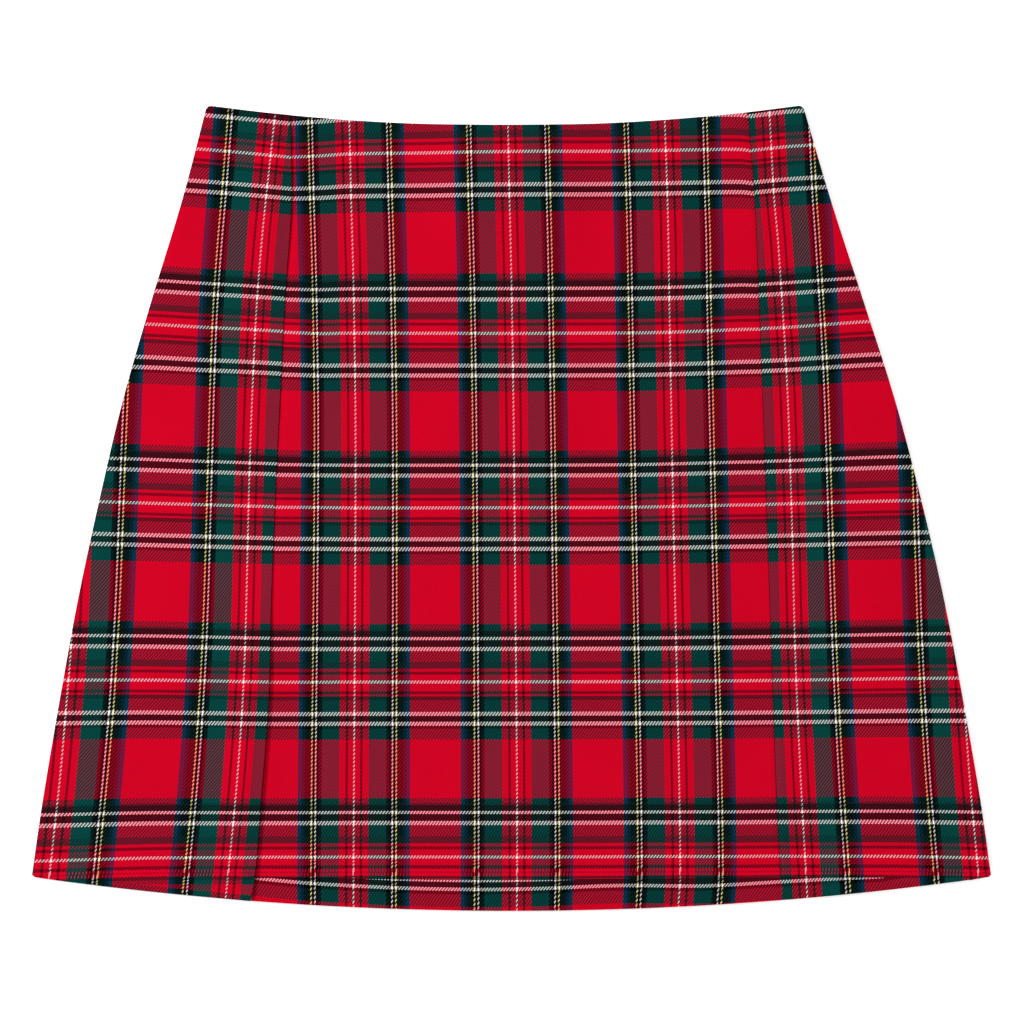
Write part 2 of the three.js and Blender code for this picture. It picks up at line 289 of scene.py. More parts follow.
def thread_heights(tree, grid):
    """Height of a float, from 0 at its rim to 1 at its crown."""
    step, warp_up = grid["step"], grid["warp_up"]
    warp_along = add(tree, "Math", [1.5, step], operation="SUBTRACT")
    warp_place = add(tree, "Math", [warp_along, grid["over_pick"]], operation="ADD")
    weft_along = add(tree, "Math", [step, 2.5], operation="SUBTRACT")
    weft_place = add(tree, "Math", [weft_along, grid["over_end"]], operation="ADD")
    along = add(tree, "Mix", {"Factor": warp_up, "A": weft_place, "B": warp_place})
    widths = {"A": grid["over_pick"], "B": grid["over_end"]}
    across = add(tree, "Mix", {"Factor": warp_up, **widths})
    arch = add(tree, "Math", [along, math.pi / 2], operation="MULTIPLY")
    arch_height = add(tree, "Math", [arch], operation="SINE")
    round_angle = add(tree, "Math", [across, math.pi], operation="MULTIPLY")
    round_height = add(tree, "Math", [round_angle], operation="SINE")
    return add(tree, "Math", [arch_height, round_height], operation="MULTIPLY")


# %% [markdown]
# ## The dye
#
# The colour of each end and pick comes from its count, in flat steps, so a thread
# has one colour from edge to edge. Its count also says what painted shade it puts
# on the colour of the thread that crosses over it.

# %% Dyed threads and their painted shade
# Sockets of a Mix node that mixes colours, and of its result.
MIX_BY, MIX_FROM, MIX_TO, MIXED = 0, 6, 7, 2


def count_places(tree, grid):
    """How far along each count the end and the pick lie, read at the thread's middle."""
    end_middle = add(tree, "Math", [grid["end"], 0.5], operation="ADD")
    end_share = add(tree, "Math", [end_middle, ENDS], operation="DIVIDE")
    end_mirrored = add(tree, "Math", [end_share, 0.5], operation="PINGPONG")
    end_place = add(tree, "Math", [end_mirrored, 2.0], operation="MULTIPLY")
    pick_middle = add(tree, "Math", [grid["pick"], 0.5], operation="ADD")
    pick_share = add(tree, "Math", [pick_middle, PICKS], operation="DIVIDE")
    pick_place = add(tree, "Math", [pick_share], operation="FRACT")
    return end_place, pick_place


def crossing_yarns(tree, warp_up, end_place, pick_place):
    """The dye of the upper and the lower yarn, and then the painted shade that each puts on the
    other.
    """
    warp_dye, warp_shade = [add(tree, "ValToRGB", {"Fac": end_place}) for _ in range(2)]
    weft_dye, weft_shade = [add(tree, "ValToRGB", {"Fac": pick_place}) for _ in range(2)]
    set_steps(warp_dye, WARP_COUNT, DYE)
    set_steps(weft_dye, WEFT_COUNT, DYE)
    set_steps(warp_shade, WARP_COUNT, SHADE)
    set_steps(weft_shade, WEFT_COUNT, SHADE)

    yarns = []
    for weft, warp in ((weft_dye, warp_dye), (weft_shade, warp_shade)):
        for if_weft_up, if_warp_up in ((weft, warp), (warp, weft)):
            pair = {MIX_BY: warp_up, MIX_FROM: if_weft_up, MIX_TO: if_warp_up}
            yarns.append(add(tree, "Mix", pair, data_type="RGBA").outputs[MIXED])
    return yarns


# %% [markdown]
# ## Haze, veil and shade
#
# Loose fibre shows some of the lower thread through the upper one: more through a
# pale yarn, less through a tightly packed one, and never a pale one through a dark.
# The thread on top also takes a painted shade from the one below, multiplied into
# its colour, but a pale yarn keeps most of its light. The outer green ends are a
# bulkier yarn, which browns the red weft over it.

# %% Haze, veil and shade
FIBRE_HAZE = 0.15  # share of a dark thread seen through a dark one on top
PALE_VEIL = 0.3  # and through a pale one, which is spun loosely
OUTER_FROM = 2.0  # in repeats from the middle of the front
GREEN_ENDS = (0.2877, 0.1085)  # middle and half width of the green stripe in the count
BULKY_HAZE = 0.6  # added where the red weft lies over the outer green ends
BULKY_ON_TOP = -0.16  # and this share of it where the ends lie on top
DARK_YARN, PALE_YARN = 0.1, 0.6  # how light a yarn is, from which it counts as pale
PALE_LIFT = 0.38  # share of its light that a pale yarn keeps over a dark one
PALE_OVER_PALE = 2.5  # times as much over a pale one


def bulky_green(tree, grid, end_place):
    """The outer green ends: they brown a weft over them and hide one below."""
    aside = add(tree, "Math", [grid["repeats"]], operation="ABSOLUTE")
    outer = add(tree, "Math", [aside, OUTER_FROM], operation="GREATER_THAN")
    in_green = add(tree, "Math", [end_place, *GREEN_ENDS], operation="COMPARE")
    outer_green = add(tree, "Math", [outer, in_green], operation="MULTIPLY")
    weft_up = add(tree, "MapRange", [grid["warp_up"], 0.0, 1.0, 1.0, BULKY_ON_TOP])
    return add(tree, "Math", [outer_green, weft_up], operation="MULTIPLY")


def threads_dyed_and_shaded(tree, grid):
    """The thread on top, with the haze and the painted shade of the one below."""
    end_place, pick_place = count_places(tree, grid)
    yarns = crossing_yarns(tree, grid["warp_up"], end_place, pick_place)
    top, low, packing, under = yarns
    top_light = add(tree, "SeparateColor", [top]).outputs["Green"]
    low_light = add(tree, "SeparateColor", [low]).outputs["Green"]
    looseness = add(tree, "SeparateColor", [packing]).outputs["Green"]

    loose_haze = add(tree, "Math", [looseness, FIBRE_HAZE], operation="MULTIPLY")
    bulky = bulky_green(tree, grid, end_place)
    haze = add(tree, "Math", [bulky, BULKY_HAZE, loose_haze], operation="MULTIPLY_ADD")
    over_dark = add(tree, "MapRange", [top_light, DARK_YARN, PALE_YARN, haze, PALE_VEIL])
    veil = add(tree, "MapRange", [low_light, DARK_YARN, PALE_YARN, over_dark, 0.0])
    seen = add(tree, "Mix", {MIX_BY: veil, MIX_FROM: top, MIX_TO: low}, data_type="RGBA")

    # Painted shade: the top thread's colour is multiplied by the shade colour of the yarn below,
    # lifted towards white for a pale yarn.
    top_lift = add(tree, "MapRange", [top_light, DARK_YARN, PALE_YARN, 0.0, PALE_LIFT])
    low_lift = add(tree, "MapRange", [low_light, DARK_YARN, PALE_YARN, 1.0, PALE_OVER_PALE])
    lift = add(tree, "Math", [top_lift, low_lift], operation="MULTIPLY")
    lifted = {MIX_BY: lift, MIX_FROM: under, MIX_TO: (1, 1, 1, 1)}
    shade = add(tree, "Mix", lifted, data_type="RGBA")
    pair = [seen.outputs[MIXED], shade.outputs[MIXED]]
    return add(tree, "VectorMath", pair, operation="MULTIPLY")


# %% [markdown]
# ## The cloth's finish
#
# Wool and acrylic twill, lightly brushed, is matt with no gloss. Loose fibre makes
# specks finer than a thread, and the dye is a little uneven over a few centimetres.

# %% Brushed twill
FIBRE_SPECKS = 2.6 / MM  # about 0.4 mm across
DYE_PATCHES = 0.035 / MM  # about 30 mm across
THREAD_RELIEF = 0.12 * MM


def brushed_twill(name):
    """2/2 twill of dyed yarn: slanting lines, dashes where a pale line crosses."""
    material, tree = new_material(name)
    grid = thread_grid(tree)
    dyed_and_shaded = threads_dyed_and_shaded(tree, grid)
    thread = thread_heights(tree, grid)
    body = add(tree, "TexCoord").outputs["Object"]
    fibre = add(tree, "TexNoise", {"Vector": body, "Scale": FIBRE_SPECKS, "Detail": 2.0})
    patch = add(tree, "TexNoise", {"Vector": body, "Scale": DYE_PATCHES, "Detail": 3.0})
    fibre_tone = add(tree, "MapRange", [fibre, 0.25, 0.75, 0.9, 1.1])
    patch_tone = add(tree, "MapRange", [patch, 0.3, 0.7, 0.975, 1.025])
    # Painted highlight and shade: each float's colour is lightened along its crown and darkened at
    # its rim.
    float_painted_light = add(tree, "MapRange", [thread, 0.0, 0.9, 0.5, 1.36])
    tone_pair = add(tree, "Math", [fibre_tone, patch_tone], operation="MULTIPLY")
    tone_and_painted_light = add(tree, "Math", [tone_pair, float_painted_light], operation="MULTIPLY")
    toned_with_painted_light = add(tree, "VectorMath", {0: dyed_and_shaded, "Scale": tone_and_painted_light}, operation="SCALE")
    relief = add(tree, "Bump", {"Strength": 0.35, "Distance": THREAD_RELIEF, "Height": thread})
    look = {"Base Color": toned_with_painted_light, "Roughness": 0.92, "Specular IOR Level": 0.02}
    shader = add(tree, "BsdfPrincipled", {**look, "Normal": relief})
    add(tree, "OutputMaterial", {"Surface": shader})
    return material


tartan = brushed_twill("red_tartan_brushed_twill")
print("tartan material has", len(tartan.node_tree.nodes), "nodes")


# %% [markdown]
# ## Reading a chart
#
# A pattern cutter notes where a line lies at a few heights and draws a fair curve
# through the notes. chart() reads such notes as named columns, and fair_line()
# draws the curve.


# %% Charts and fair lines
def chart(text):
    """Named columns of numbers from a small written table."""
    names, *rows = [line.split() for line in text.strip().splitlines()]
    return {name: [float(row[i]) for row in rows] for i, name in enumerate(names)}


def fair_line(places, values):
    """A smooth curve through values at rising places, straight beyond both ends."""
    count = len(places)
    slopes = []
    for i in range(count):
        before, after = max(i - 1, 0), min(i + 1, count - 1)
        slopes.append((values[after] - values[before]) / (places[after] - places[before]))

    def at(place):
        if place <= places[0]:
            return values[0] + slopes[0] * (place - places[0])
        if place >= places[-1]:
            return values[-1] + slopes[-1] * (place - places[-1])
        i = max(k for k in range(count - 1) if places[k] <= place)
        span = places[i + 1] - places[i]
        u = (place - places[i]) / span
        return (
            (2 * u**3 - 3 * u**2 + 1) * values[i]
            + (u**3 - 2 * u**2 + u) * span * slopes[i]
            + (3 * u**2 - 2 * u**3) * values[i + 1]
            + (u**3 - u**2) * span * slopes[i + 1]
        )

    return at


def lerp(a, b, share):
    """a at share 0 and b at share 1."""
    return a + (b - a) * share


def smooth(value, start, end):
    """0 before start, 1 after end and an S curve between them."""
    u = min(max((value - start) / (end - start), 0), 1)
    return u * u * (3 - 2 * u)


# %% [markdown]
# ## The cut
#
# The outline and the two princess seams, as the CAD model has them. Both waist and
# hem are shallow bows, and their corners are turned with a small radius.

# %% Cut lines
HALF_LENGTH = 221.65
CUT_LINES = chart("""
    drop  left_edge  left_seam  right_seam  right_edge
    0     -167.5     -121.8     129.8       160.3
    52    -181.1     -121.0     133.9       175.6
    107   -197.9     -124.6     136.3       193.4
    162   -213.7     -127.3     138.3       210.9
    217   -226.7     -130.0     140.2       225.4
    272   -238.5     -132.1     142.1       238.0
    327   -248.5     -133.5     144.0       248.4
    382   -257.8     -137.6     145.9       257.9
    425   -264.0     -141.1     148.2       264.0
    440   -265.8     -143.9     149.4       266.0
""")
CORNER_RADIUS = 2.6
CORNER_FALL = 0.8  # share of a quarter circle that a turned corner falls away by
WAIST_MIDDLE = 210.65
WAIST_LEFT, WAIST_RIGHT = -167.5, 160.3
WAIST_BOW, WAIST_POWER = 11.0, 2.1
HEM_BOW, HEM_HALF = 18.7, 264.0
BAND_SEAM_Y, BAND_SAG, BAND_REACH = -203.2, 1.4, 120.0
BACK_SEAM_X = -3.6


def cut_line(column):
    line = fair_line(CUT_LINES["drop"], CUT_LINES[column])
    return lambda y: line(HALF_LENGTH - y)


left_edge, left_seam = cut_line("left_edge"), cut_line("left_seam")
right_seam, right_edge = cut_line("right_seam"), cut_line("right_edge")


def corner_drop(inset):
    """How far a turned corner falls away, at inset from its side."""
    if inset >= CORNER_RADIUS:
        return 0.0
    across = (CORNER_RADIUS - max(inset, 0.0)) / CORNER_RADIUS
    return CORNER_RADIUS * (1 - math.sqrt(1 - across**2)) * CORNER_FALL


def waist(x):
    """The waist's bow is lowest at the centre-back seam."""
    aside = abs(x - BACK_SEAM_X) / (WAIST_RIGHT - BACK_SEAM_X)
    bow = WAIST_MIDDLE + WAIST_BOW * aside**WAIST_POWER
    return bow - corner_drop(min(x - WAIST_LEFT, WAIST_RIGHT - x))


def hem(x):
    return -HALF_LENGTH + HEM_BOW * (x / HEM_HALF) ** 2 + corner_drop(HEM_HALF - abs(x))


def band_seam(x):
    return BAND_SEAM_Y - BAND_SAG * math.exp(-((x / BAND_REACH) ** 2))


print("waist", round(WAIST_RIGHT - WAIST_LEFT, 1), "mm and hem", 2 * HEM_HALF, "mm across")

# %% [markdown]
# ## How the cloth lies
#
# The front rests on the back and on the zip, with a few broad folds that have not
# quite pressed out. Near the waist both layers bridge over the zip's slider and
# tab. Along each seam the cloth rolls down into the stitching and puckers a little.

# %% Heights of the cloth
WALL = 1.2
LAYER_GAP = 0.3
BAY_RISE = 1.9  # how far the back lifts over the slider and tab
BAY_ASIDE = (6.0, 24.0)  # from the seam: first flat, then fading
BAY_DOWN = (30.0, 32.0)  # from the waist: first flat, then fading
BRIDGING = 9.0  # how much wider the front spans it
TAPE_RISE, TAPE_HALF, TAPE_LENGTH = 1.6, 12.0, 160.0
FOLDS = chart("""
    from_x  from_y  to_x  to_y  height  spread
    -128    212     -131  118   1.3     8
    -140    -62     -152  -216  1.9     9
    -168    78      -206  -138  0.8     22
    -72     146     -58   -96   0.9     34
    6       -214    -8    -92   0.8     26
    70      128     92    -164  1.1     36
    172     92      214   -154  0.9     22
""")


def plateau(distance, flat, fade):
    """1 within flat of a line, then fading to 0."""
    return 1 - smooth(distance, flat, flat + fade)


def zip_bay(x, y, spare=0.0):
    """1 over the slider and tab, and 0 away from them."""
    aside = plateau(abs(x - BACK_SEAM_X), BAY_ASIDE[0] + spare, BAY_ASIDE[1] + spare)
    return aside * plateau(waist(x) - y, BAY_DOWN[0] + spare, BAY_DOWN[1] + spare)


def bay_rise(x, y):
    return BAY_RISE * zip_bay(x, y)


def fold_height(from_x, from_y, to_x, to_y, height, spread, x, y):
    """A soft ridge along a line, highest halfway along it."""
    along = Vector((to_x - from_x, to_y - from_y))
    here = Vector((x - from_x, y - from_y))
    share = min(max(here.dot(along) / along.length_squared, 0), 1)
    off = (here - along * share).length
    crest = 0.55 + 0.45 * math.sin(math.pi * share)
    return height * crest * math.exp(-((off / spread) ** 2))


def fold_heights(folds, x, y):
    return sum(fold_height(*row, x, y) for row in zip(*folds.values()))


# %% [markdown]
# ## Level of the front
#
# The front lies on the back, over the zip's bay and tapes, and carries the folds.
# Cloth smoothed out by hand stays faintly uneven and puckers beside its seams.


# %% Level of the front
def front_level(x, y):
    """Height of the cloth's upper face on the front, before its seams are pressed."""
    over_tape = plateau(abs(x - BACK_SEAM_X), TAPE_HALF + BRIDGING, 4 * BRIDGING)
    over_tape *= plateau(waist(x) - y, TAPE_LENGTH + BRIDGING, 5 * BRIDGING)
    # Folds die out at the seams and the sides, and partly at the waist and hem.
    folds = fold_heights(FOLDS, x, y)
    beside_seam = min(abs(x - left_seam(y)), abs(x - right_seam(y)))
    folds *= 1 - 0.8 * math.exp(-((beside_seam / 6) ** 2))
    side = min(x - left_edge(y), right_edge(y) - x)
    end = min(waist(x) - y, y - hem(x))
    folds *= smooth(side, 0, 16) * lerp(0.45, 1, smooth(end, 0, 18))
    bay = (BAY_RISE + LAYER_GAP / 2) * zip_bay(x, y, BRIDGING)
    return 2 * WALL + LAYER_GAP + bay + TAPE_RISE * over_tape + folds


def undulation(x, y):
    """Faint unevenness of cloth that was smoothed out by hand."""
    broad = noise.noise(Vector((x / 46, y / 58, 3.7)))
    fine = noise.noise(Vector((x / 17, y / 23, 8.1)))
    return 0.34 * broad + 0.1 * fine


def pucker(off, along):
    """Small waves beside a seam, off mm away from it and along mm along it."""
    wave = math.sin(along / 1.9 + 1.6 * math.sin(along / 13.7))
    return 0.13 * wave * math.exp(-((off / 4.5) ** 2))


print("front lies at", round(front_level(0, -100), 2), "mm by the middle of the hem")

# %% [markdown]
# ## Where the stripes lie
#
# The stripes drift a little over each panel, because cloth is never laid quite
# square and the side panels are eased. Each panel has two small charts. One gives
# the x of its white warp lines at a few heights, and the other the y of its white
# weft lines at a few places across. Between lines the pattern is spread evenly.


# %% Stripe charts
def between(place, knots):
    """The value at place, on straight lines through rising (place, value) knots."""
    i = 0
    while i < len(knots) - 2 and place > knots[i + 1][0]:
        i += 1
    (x0, v0), (x1, v1) = knots[i], knots[i + 1]
    return v0 + (v1 - v0) * (place - x0) / (x1 - x0)


def stripe_lines(text, key, numbers):
    """Fair lines by their number in the pattern, from a chart of where they lie."""
    columns = chart(text)
    return [(fair_line(columns[key], columns[name]), numbers[name]) for name in numbers]


def stripe_number(lines, place, along):
    return between(place, sorted((line(along), number) for line, number in lines))


PALE = 0.2358  # from a pivot line to the white line beside the yellow one
centre_warp = stripe_lines(
    """
    y     A      B     C     C_outer
    -216  -86.9  3.0   92.0  113.3
    -203  -86.9  3.1   92.8  114.1
    -143  -86.6  3.0   92.1  113.4
    -47   -86.0  2.1   89.9  111.1
    48    -85.8  1.2   88.0  109.0
    115   -86.7  0.2   86.8  107.6
    147   -87.5  -0.5  86.3  107.2
    170   -88.2  -1.1  85.8  106.5
    205   -89.0  -1.8  84.6  105.6
    """,
    "y",
    {"A": -1, "B": 0, "C": 1, "C_outer": 1 + PALE},
)
left_warp = stripe_lines(
    """
    y     H       H_pale  G_pale  G       G_inner
    -203  -254.2  -230.1  -177.7  -156.0  -135.3
    -175  -251.2  -227.3  -174.9  -153.1  -132.6
    -143  -247.8  -224.1  -172.0  -150.3  -129.8
    -110  -245.0  -221.2  -169.7  -148.0  -127.4
    -80   -242.5  -219.3  -168.0  -146.6  -126.0
    -47   -241.0  -217.5  -166.7  -145.7  -125.2
    20    -238.6  -215.0  -164.8  -144.1  -123.6
    80    -236.0  -212.5  -163.1  -141.8  -121.2
    115   -234.2  -211.0  -161.6  -139.9  -119.2
    147   -232.6  -209.2  -159.3  -137.3  -116.8
    170   -231.0  -207.4  -157.3  -135.0  -114.6
    205   -228.1  -204.4  -154.6  -131.2  -110.8
    """,
    "y",
    {"H": -3, "H_pale": -3 + PALE, "G_pale": -2 - PALE, "G": -2, "G_inner": -2 + PALE},
)
right_warp = stripe_lines(
    """
    y     E_inner  E      E_pale  F_pale  F
    -203  141.4    162.1  183.6   234.8   257.0
    -143  138.0    158.8  179.8   229.8   251.6
    -80   135.6    156.1  176.7   226.2   247.7
    -15   133.9    154.5  174.5   224.0   245.7
    48    131.8    152.5  172.6   221.8   243.8
    80    130.3    151.0  171.3   220.3   242.3
    147   125.9    146.6  167.3   216.6   238.5
    170   123.8    144.5  165.7   214.6   236.5
    205   121.9    142.6  164.0   213.2   235.1
    """,
    "y",
    {"E_inner": 2 - PALE, "E": 2, "E_pale": 2 + PALE, "F_pale": 3 - PALE, "F": 3},
)
print(len(centre_warp) + len(left_warp) + len(right_warp), "warp lines charted")

# %% [markdown]
# ## Where the weft lines lie
#
# Each chart follows the white pivot lines across its panel. The pairs of white
# lines beside them keep nearly even distances, with a small chart of nudges.

# %% Weft charts
PIVOTS = {"P4": 4, "P3": 3, "P2": 2, "P1": 1, "P0": 0}
centre_weft = stripe_lines(
    """
    x       P4     P3    P2    P1     P0
    -121.8  192.7  96.3  0.1   -96.1  -192.4
    -105.3  193.4  95.7  0.0   -96.1  -192.4
    -88.8   194.5  95.9  -0.2  -96.0  -192.3
    -44.8   195.0  95.8  -0.2  -96.0  -192.3
    1.9     195.6  95.7  -0.1  -95.9  -192.3
    45.9    195.9  95.9  0.0   -95.8  -192.2
    75.0    196.3  96.1  0.3   -95.7  -192.0
    100.0   196.7  96.8  0.9   -95.5  -192.0
    125.7   196.9  97.9  1.4   -95.3  -192.0
    135.0   195.7  98.1  1.5   -95.2  -191.9
    """,
    "x",
    PIVOTS,
)
left_weft = stripe_lines(
    """
    x       P4     P3     P2   P1     P0
    -250.0  200.5  102.0  3.9  -95.0  -194.3
    -200.0  198.8  100.9  2.4  -94.9  -192.9
    -172.4  197.2  99.3   1.6  -95.3  -192.7
    -143.8  194.8  98.0   0.8  -95.8  -192.5
    -121.8  192.6  96.6   0.2  -96.0  -192.5
    """,
    "x",
    PIVOTS,
)
right_weft = stripe_lines(
    """
    x      P4     P3     P2   P1     P0
    133.0  196.5  98.2   1.5  -95.0  -191.9
    153.2  198.6  99.2   2.1  -95.0  -191.9
    191.7  200.6  102.0  3.2  -94.4  -191.9
    213.7  201.4  103.1  3.7  -94.1  -192.0
    264.0  203.0  105.0  4.6  -93.7  -192.9
    """,
    "x",
    PIVOTS,
)

# How much higher than an even spread the pairs of white lines lie beside each pivot.
PAIR_ABOVE, PAIR_BELOW = 38.5 / PICKS, 37 / PICKS
PAIRS = chart("""
    pivot  above  below
    4      0.3    0.5
    3      -0.35  0.0
    2      -0.6   0.5
    1      -0.1   0.3
    0      0.5    0.0
""")


def part_way(here, other, share, nudge):
    return lambda x: lerp(here(x), other(x), share) + nudge


def with_pairs(pivots):
    """The pivot lines and the pairs of white lines on both sides of each."""
    line_of = {number: line for line, number in pivots}
    lines = list(pivots)
    for number, above, below in zip(*PAIRS.values()):
        here, lower = line_of[number], line_of.get(number - 1)
        upper = line_of.get(number + 1) or part_way(here, lower, -1, 0)
        lines.append((part_way(here, upper, PAIR_ABOVE, above), number + PAIR_ABOVE))
        if lower:
            lines.append((part_way(here, lower, PAIR_BELOW, below), number - PAIR_BELOW))
    return lines


centre_weft, left_weft, right_weft = map(with_pairs, (centre_weft, left_weft, right_weft))
print(len(centre_weft), "weft lines in each panel")

# %% [markdown]
# ## Where the hem takes the stripes
#
# Close to the hem the cloth is eased into the band, so the last picks before the
# seam are spread, and the green that follows them is squeezed. Below the seam the
# band shows the outer of the two white lines, a thread or two of the inner one at
# its middle, and ends in green. The side panels have no white line there: their
# green runs on to the hem, and the left one ends in a strip of red.

# %% Stripes along the hem
HEM_EASE = [(-13.3, -0.16), (-10.6, -0.08), (-5.7, -0.068), (-4.1, -0.051), (0.0, 0.0)]
SIDE_EASE = [(-30.0, -0.24), (-15.5, -0.152), (-10.8, -0.087), (-10.3, -0.08), (-5.7, -0.068),
             (-4.1, -0.051), (0.0, 0.0)]  # fmt: skip
BAND_WHITE = chart("""
    x       y
    -141.1  -203.6
    -118.5  -205.8
    -94.3   -207.4
    -61.3   -209.0
    -20.1   -209.8
    15.7    -209.3
    58.0    -207.7
    103.7   -207.9
    122.9   -207.1
    139.4   -206.1
    169.7   -204.4
    183.4   -203.7
    200.0   -203.0
    206.0   -202.4
    215.0   -200.8
    258.0   -196.0
""")
band_white = fair_line(BAND_WHITE["x"], BAND_WHITE["y"])
print("the band's white line lies", round(band_white(0) - hem(0), 1), "mm above the hem")
BAND_EASE = [(-20.0, -0.42), (-0.9, -0.25), (0.9, -0.2273), (4.0, -0.193)]
STRIP_Y = -207.1
STRIP_GREEN, STRIP_START = 3.3, -0.6648  # height of its green, and its place in the count
BACK_PIVOT_Y = -191.8


def eased(number, y, lines, x, ease):
    """Picks below the last pivot line follow the ease chart instead."""
    if number >= 0:
        return number
    pivot = next(line for line, value in lines if value == 0)
    return between(y - pivot(x), ease)


def centre_weave(x, y, _):
    weft = stripe_number(centre_weft, y, x)
    return stripe_number(centre_warp, x, y), eased(weft, y, centre_weft, x, HEM_EASE)


def left_weave(x, y, face_y):
    warp = stripe_number(left_warp, x, y)
    if face_y < STRIP_Y:
        above_green = y - hem(x) - STRIP_GREEN
        return warp, STRIP_START + above_green / WEFT_REPEAT
    weft = stripe_number(left_weft, y, x)
    return warp, eased(weft, y, left_weft, x, SIDE_EASE)


def right_weave(x, y, _):
    weft = stripe_number(right_weft, y, x)
    return stripe_number(right_warp, x, y), eased(weft, y, right_weft, x, SIDE_EASE)


def band_weave(x, y, face_x):
    lines = right_warp if face_x > right_seam(y) else centre_warp
    return stripe_number(lines, x, y), between(y - band_white(x), BAND_EASE)


def back_weave(x, y, _):
    """The back is cut on the straight grain. Its right side faces down."""
    return (BACK_SEAM_X - x) / WARP_REPEAT, (y - BACK_PIVOT_Y) / WEFT_REPEAT


# %% [markdown]
# ## A panel of cloth
#
# A panel starts as a flat grid. Its columns are spread between two cut lines and
# its rows between two ends, closer together near the edges, where the cloth turns.
# Each point is lifted to the height at which the cloth lies and gets its place in
# the weave. Solidify then gives it thickness and Bevel rounds its turned edges.

# %% Panel builder
EDGE_CROWDING = 0.65
FRONT_WALL = WALL - 0.05
TURNED_EDGE = 0.4
CLOTH_CREASE = 50  # degrees, past which an edge of cloth is rounded


def crowded(share):
    """Shares that lie closer together at both ends."""
    return share - EDGE_CROWDING * math.sin(2 * math.pi * share) / (2 * math.pi)


def corner(edge, level):
    """The y at which an edge line meets an end line."""
    y = level(0)
    for _ in range(12):
        y = level(edge(y))
    return y


def everything(bm):
    return bm.verts[:] + bm.edges[:] + bm.faces[:]


def finish_cloth(bm, name, wall, rounding, material):
    """Thickness below the given face, rounded edges and a smooth surface."""
    piece = place_piece(bm, name, material)
    thick = piece.modifiers.new("thickness", "SOLIDIFY")
    thick.thickness = wall * MM
    thick.offset = -1
    round_edges(piece, "turned_edges", rounding, CLOTH_CREASE)
    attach(piece, "cloth")
    return piece


# %% [markdown]
# ## Sewing a panel
#
# One function does all of it: the grid between the lines, the clean breaks in the
# weave, the weave map, the heights and the thickness.


# %% Sewing a panel
def sew_panel(name, lines, cells, height, weave, breaks=(), by="y", wall=FRONT_WALL):
    """One panel between (left, right, low, high) lines, as a shell of cloth.

    breaks are the (point, normal) of clean cuts, where the weave map has a break, and
    by names the place on a face that tells which side of the break it lies on.
    """
    bm = bmesh.new()
    bmesh.ops.create_grid(bm, x_segments=cells[0], y_segments=cells[1], size=0.5)
    left, right, low, high = lines
    corners = [corner(edge, level) for edge in (left, right) for level in (low, high)]
    left_foot, left_head, right_foot, right_head = corners
    for vert in bm.verts:
        s, t = crowded(vert.co.x + 0.5), crowded(vert.co.y + 0.5)
        x_left, x_right = left(lerp(left_foot, left_head, t)), right(lerp(right_foot, right_head, t))
        y_low = low(lerp(left(left_foot), right(right_foot), s))
        y_high = high(lerp(left(left_head), right(right_head), s))
        vert.co = Vector((lerp(x_left, x_right, s), lerp(y_low, y_high, t), 0)) * MM
    for point, normal in breaks:
        point = Vector(point) * MM
        bmesh.ops.bisect_plane(bm, geom=everything(bm), dist=1e-7, plane_co=point, plane_no=normal)
    weave_map = bm.loops.layers.uv.new("weave")
    for face in bm.faces:
        middle = face.calc_center_median() / MM
        side = middle.y if by == "y" else middle.x
        for loop in face.loops:
            place = loop.vert.co / MM
            loop[weave_map].uv = weave(place.x, place.y, side)
    for vert in bm.verts:
        vert.co.z = height(vert.co.x / MM, vert.co.y / MM) * MM
    return finish_cloth(bm, name, wall, TURNED_EDGE, tartan)


def upright(x):
    return lambda y: x


def beside(line, offset):
    return lambda y: line(y) + offset


def pressed(off, roll, reach):
    """How far cloth is drawn down at off mm beside a seam or a turned edge."""
    return roll * (1 - smooth(off, 0, reach))


# %% [markdown]
# ## Fronts
#
# The three long front panels meet at the princess seams. They are set a hair apart
# at the seams and rolled down into them. The left princess seam has its turnings
# pressed to the side, so that the side panel stands proud and throws a fine shadow.

# %% Heights of the fronts
SEAM_OPENING = 0.06
SEAM_ROLL, SEAM_REACH = 0.32, 2.2
LEFT_ROLL, LEFT_REACH = 0.45, 4.5
RIGHT_ROLL, RIGHT_REACH = 0.42, 3.0
EDGE_ROLL, EDGE_REACH = 0.2, 2.5
SIDE_REACH = 4.0
RIGHT_PUCKER_SHIFT = 40.0


def turned_edges(x, y, side):
    """Cloth turned under at the waist, hem and side: it falls away a little."""
    ends = pressed(waist(x) - y, EDGE_ROLL, EDGE_REACH)
    ends += pressed(y - hem(x), EDGE_ROLL, EDGE_REACH)
    return ends + pressed(side, EDGE_ROLL, SIDE_REACH)


def step_at_left_seam(y):
    """How far the side panel stands proud at the left seam, most below the hip."""
    low = 1.45 * smooth(y, -10, -110) + 0.35
    high = 0.8 * smooth(y, 90, 170)
    return max(low, high)


def above_back(level):
    """Cloth of the front never sinks into the back."""
    return max(level, 2 * WALL + 0.05)


def centre_height(x, y):
    off_left, off_right = x - left_seam(y), right_seam(y) - x
    off_band = y - band_seam(x)
    level = front_level(x, y) + undulation(x, y)
    level += pucker(off_left, y) + pucker(off_right, y + RIGHT_PUCKER_SHIFT) + pucker(off_band, x)
    level -= pressed(off_left, LEFT_ROLL, LEFT_REACH) + pressed(off_right, SEAM_ROLL, SEAM_REACH)
    level -= pressed(off_band, SEAM_ROLL, SEAM_REACH)
    level -= pressed(waist(x) - y, EDGE_ROLL, EDGE_REACH)
    return above_back(level)


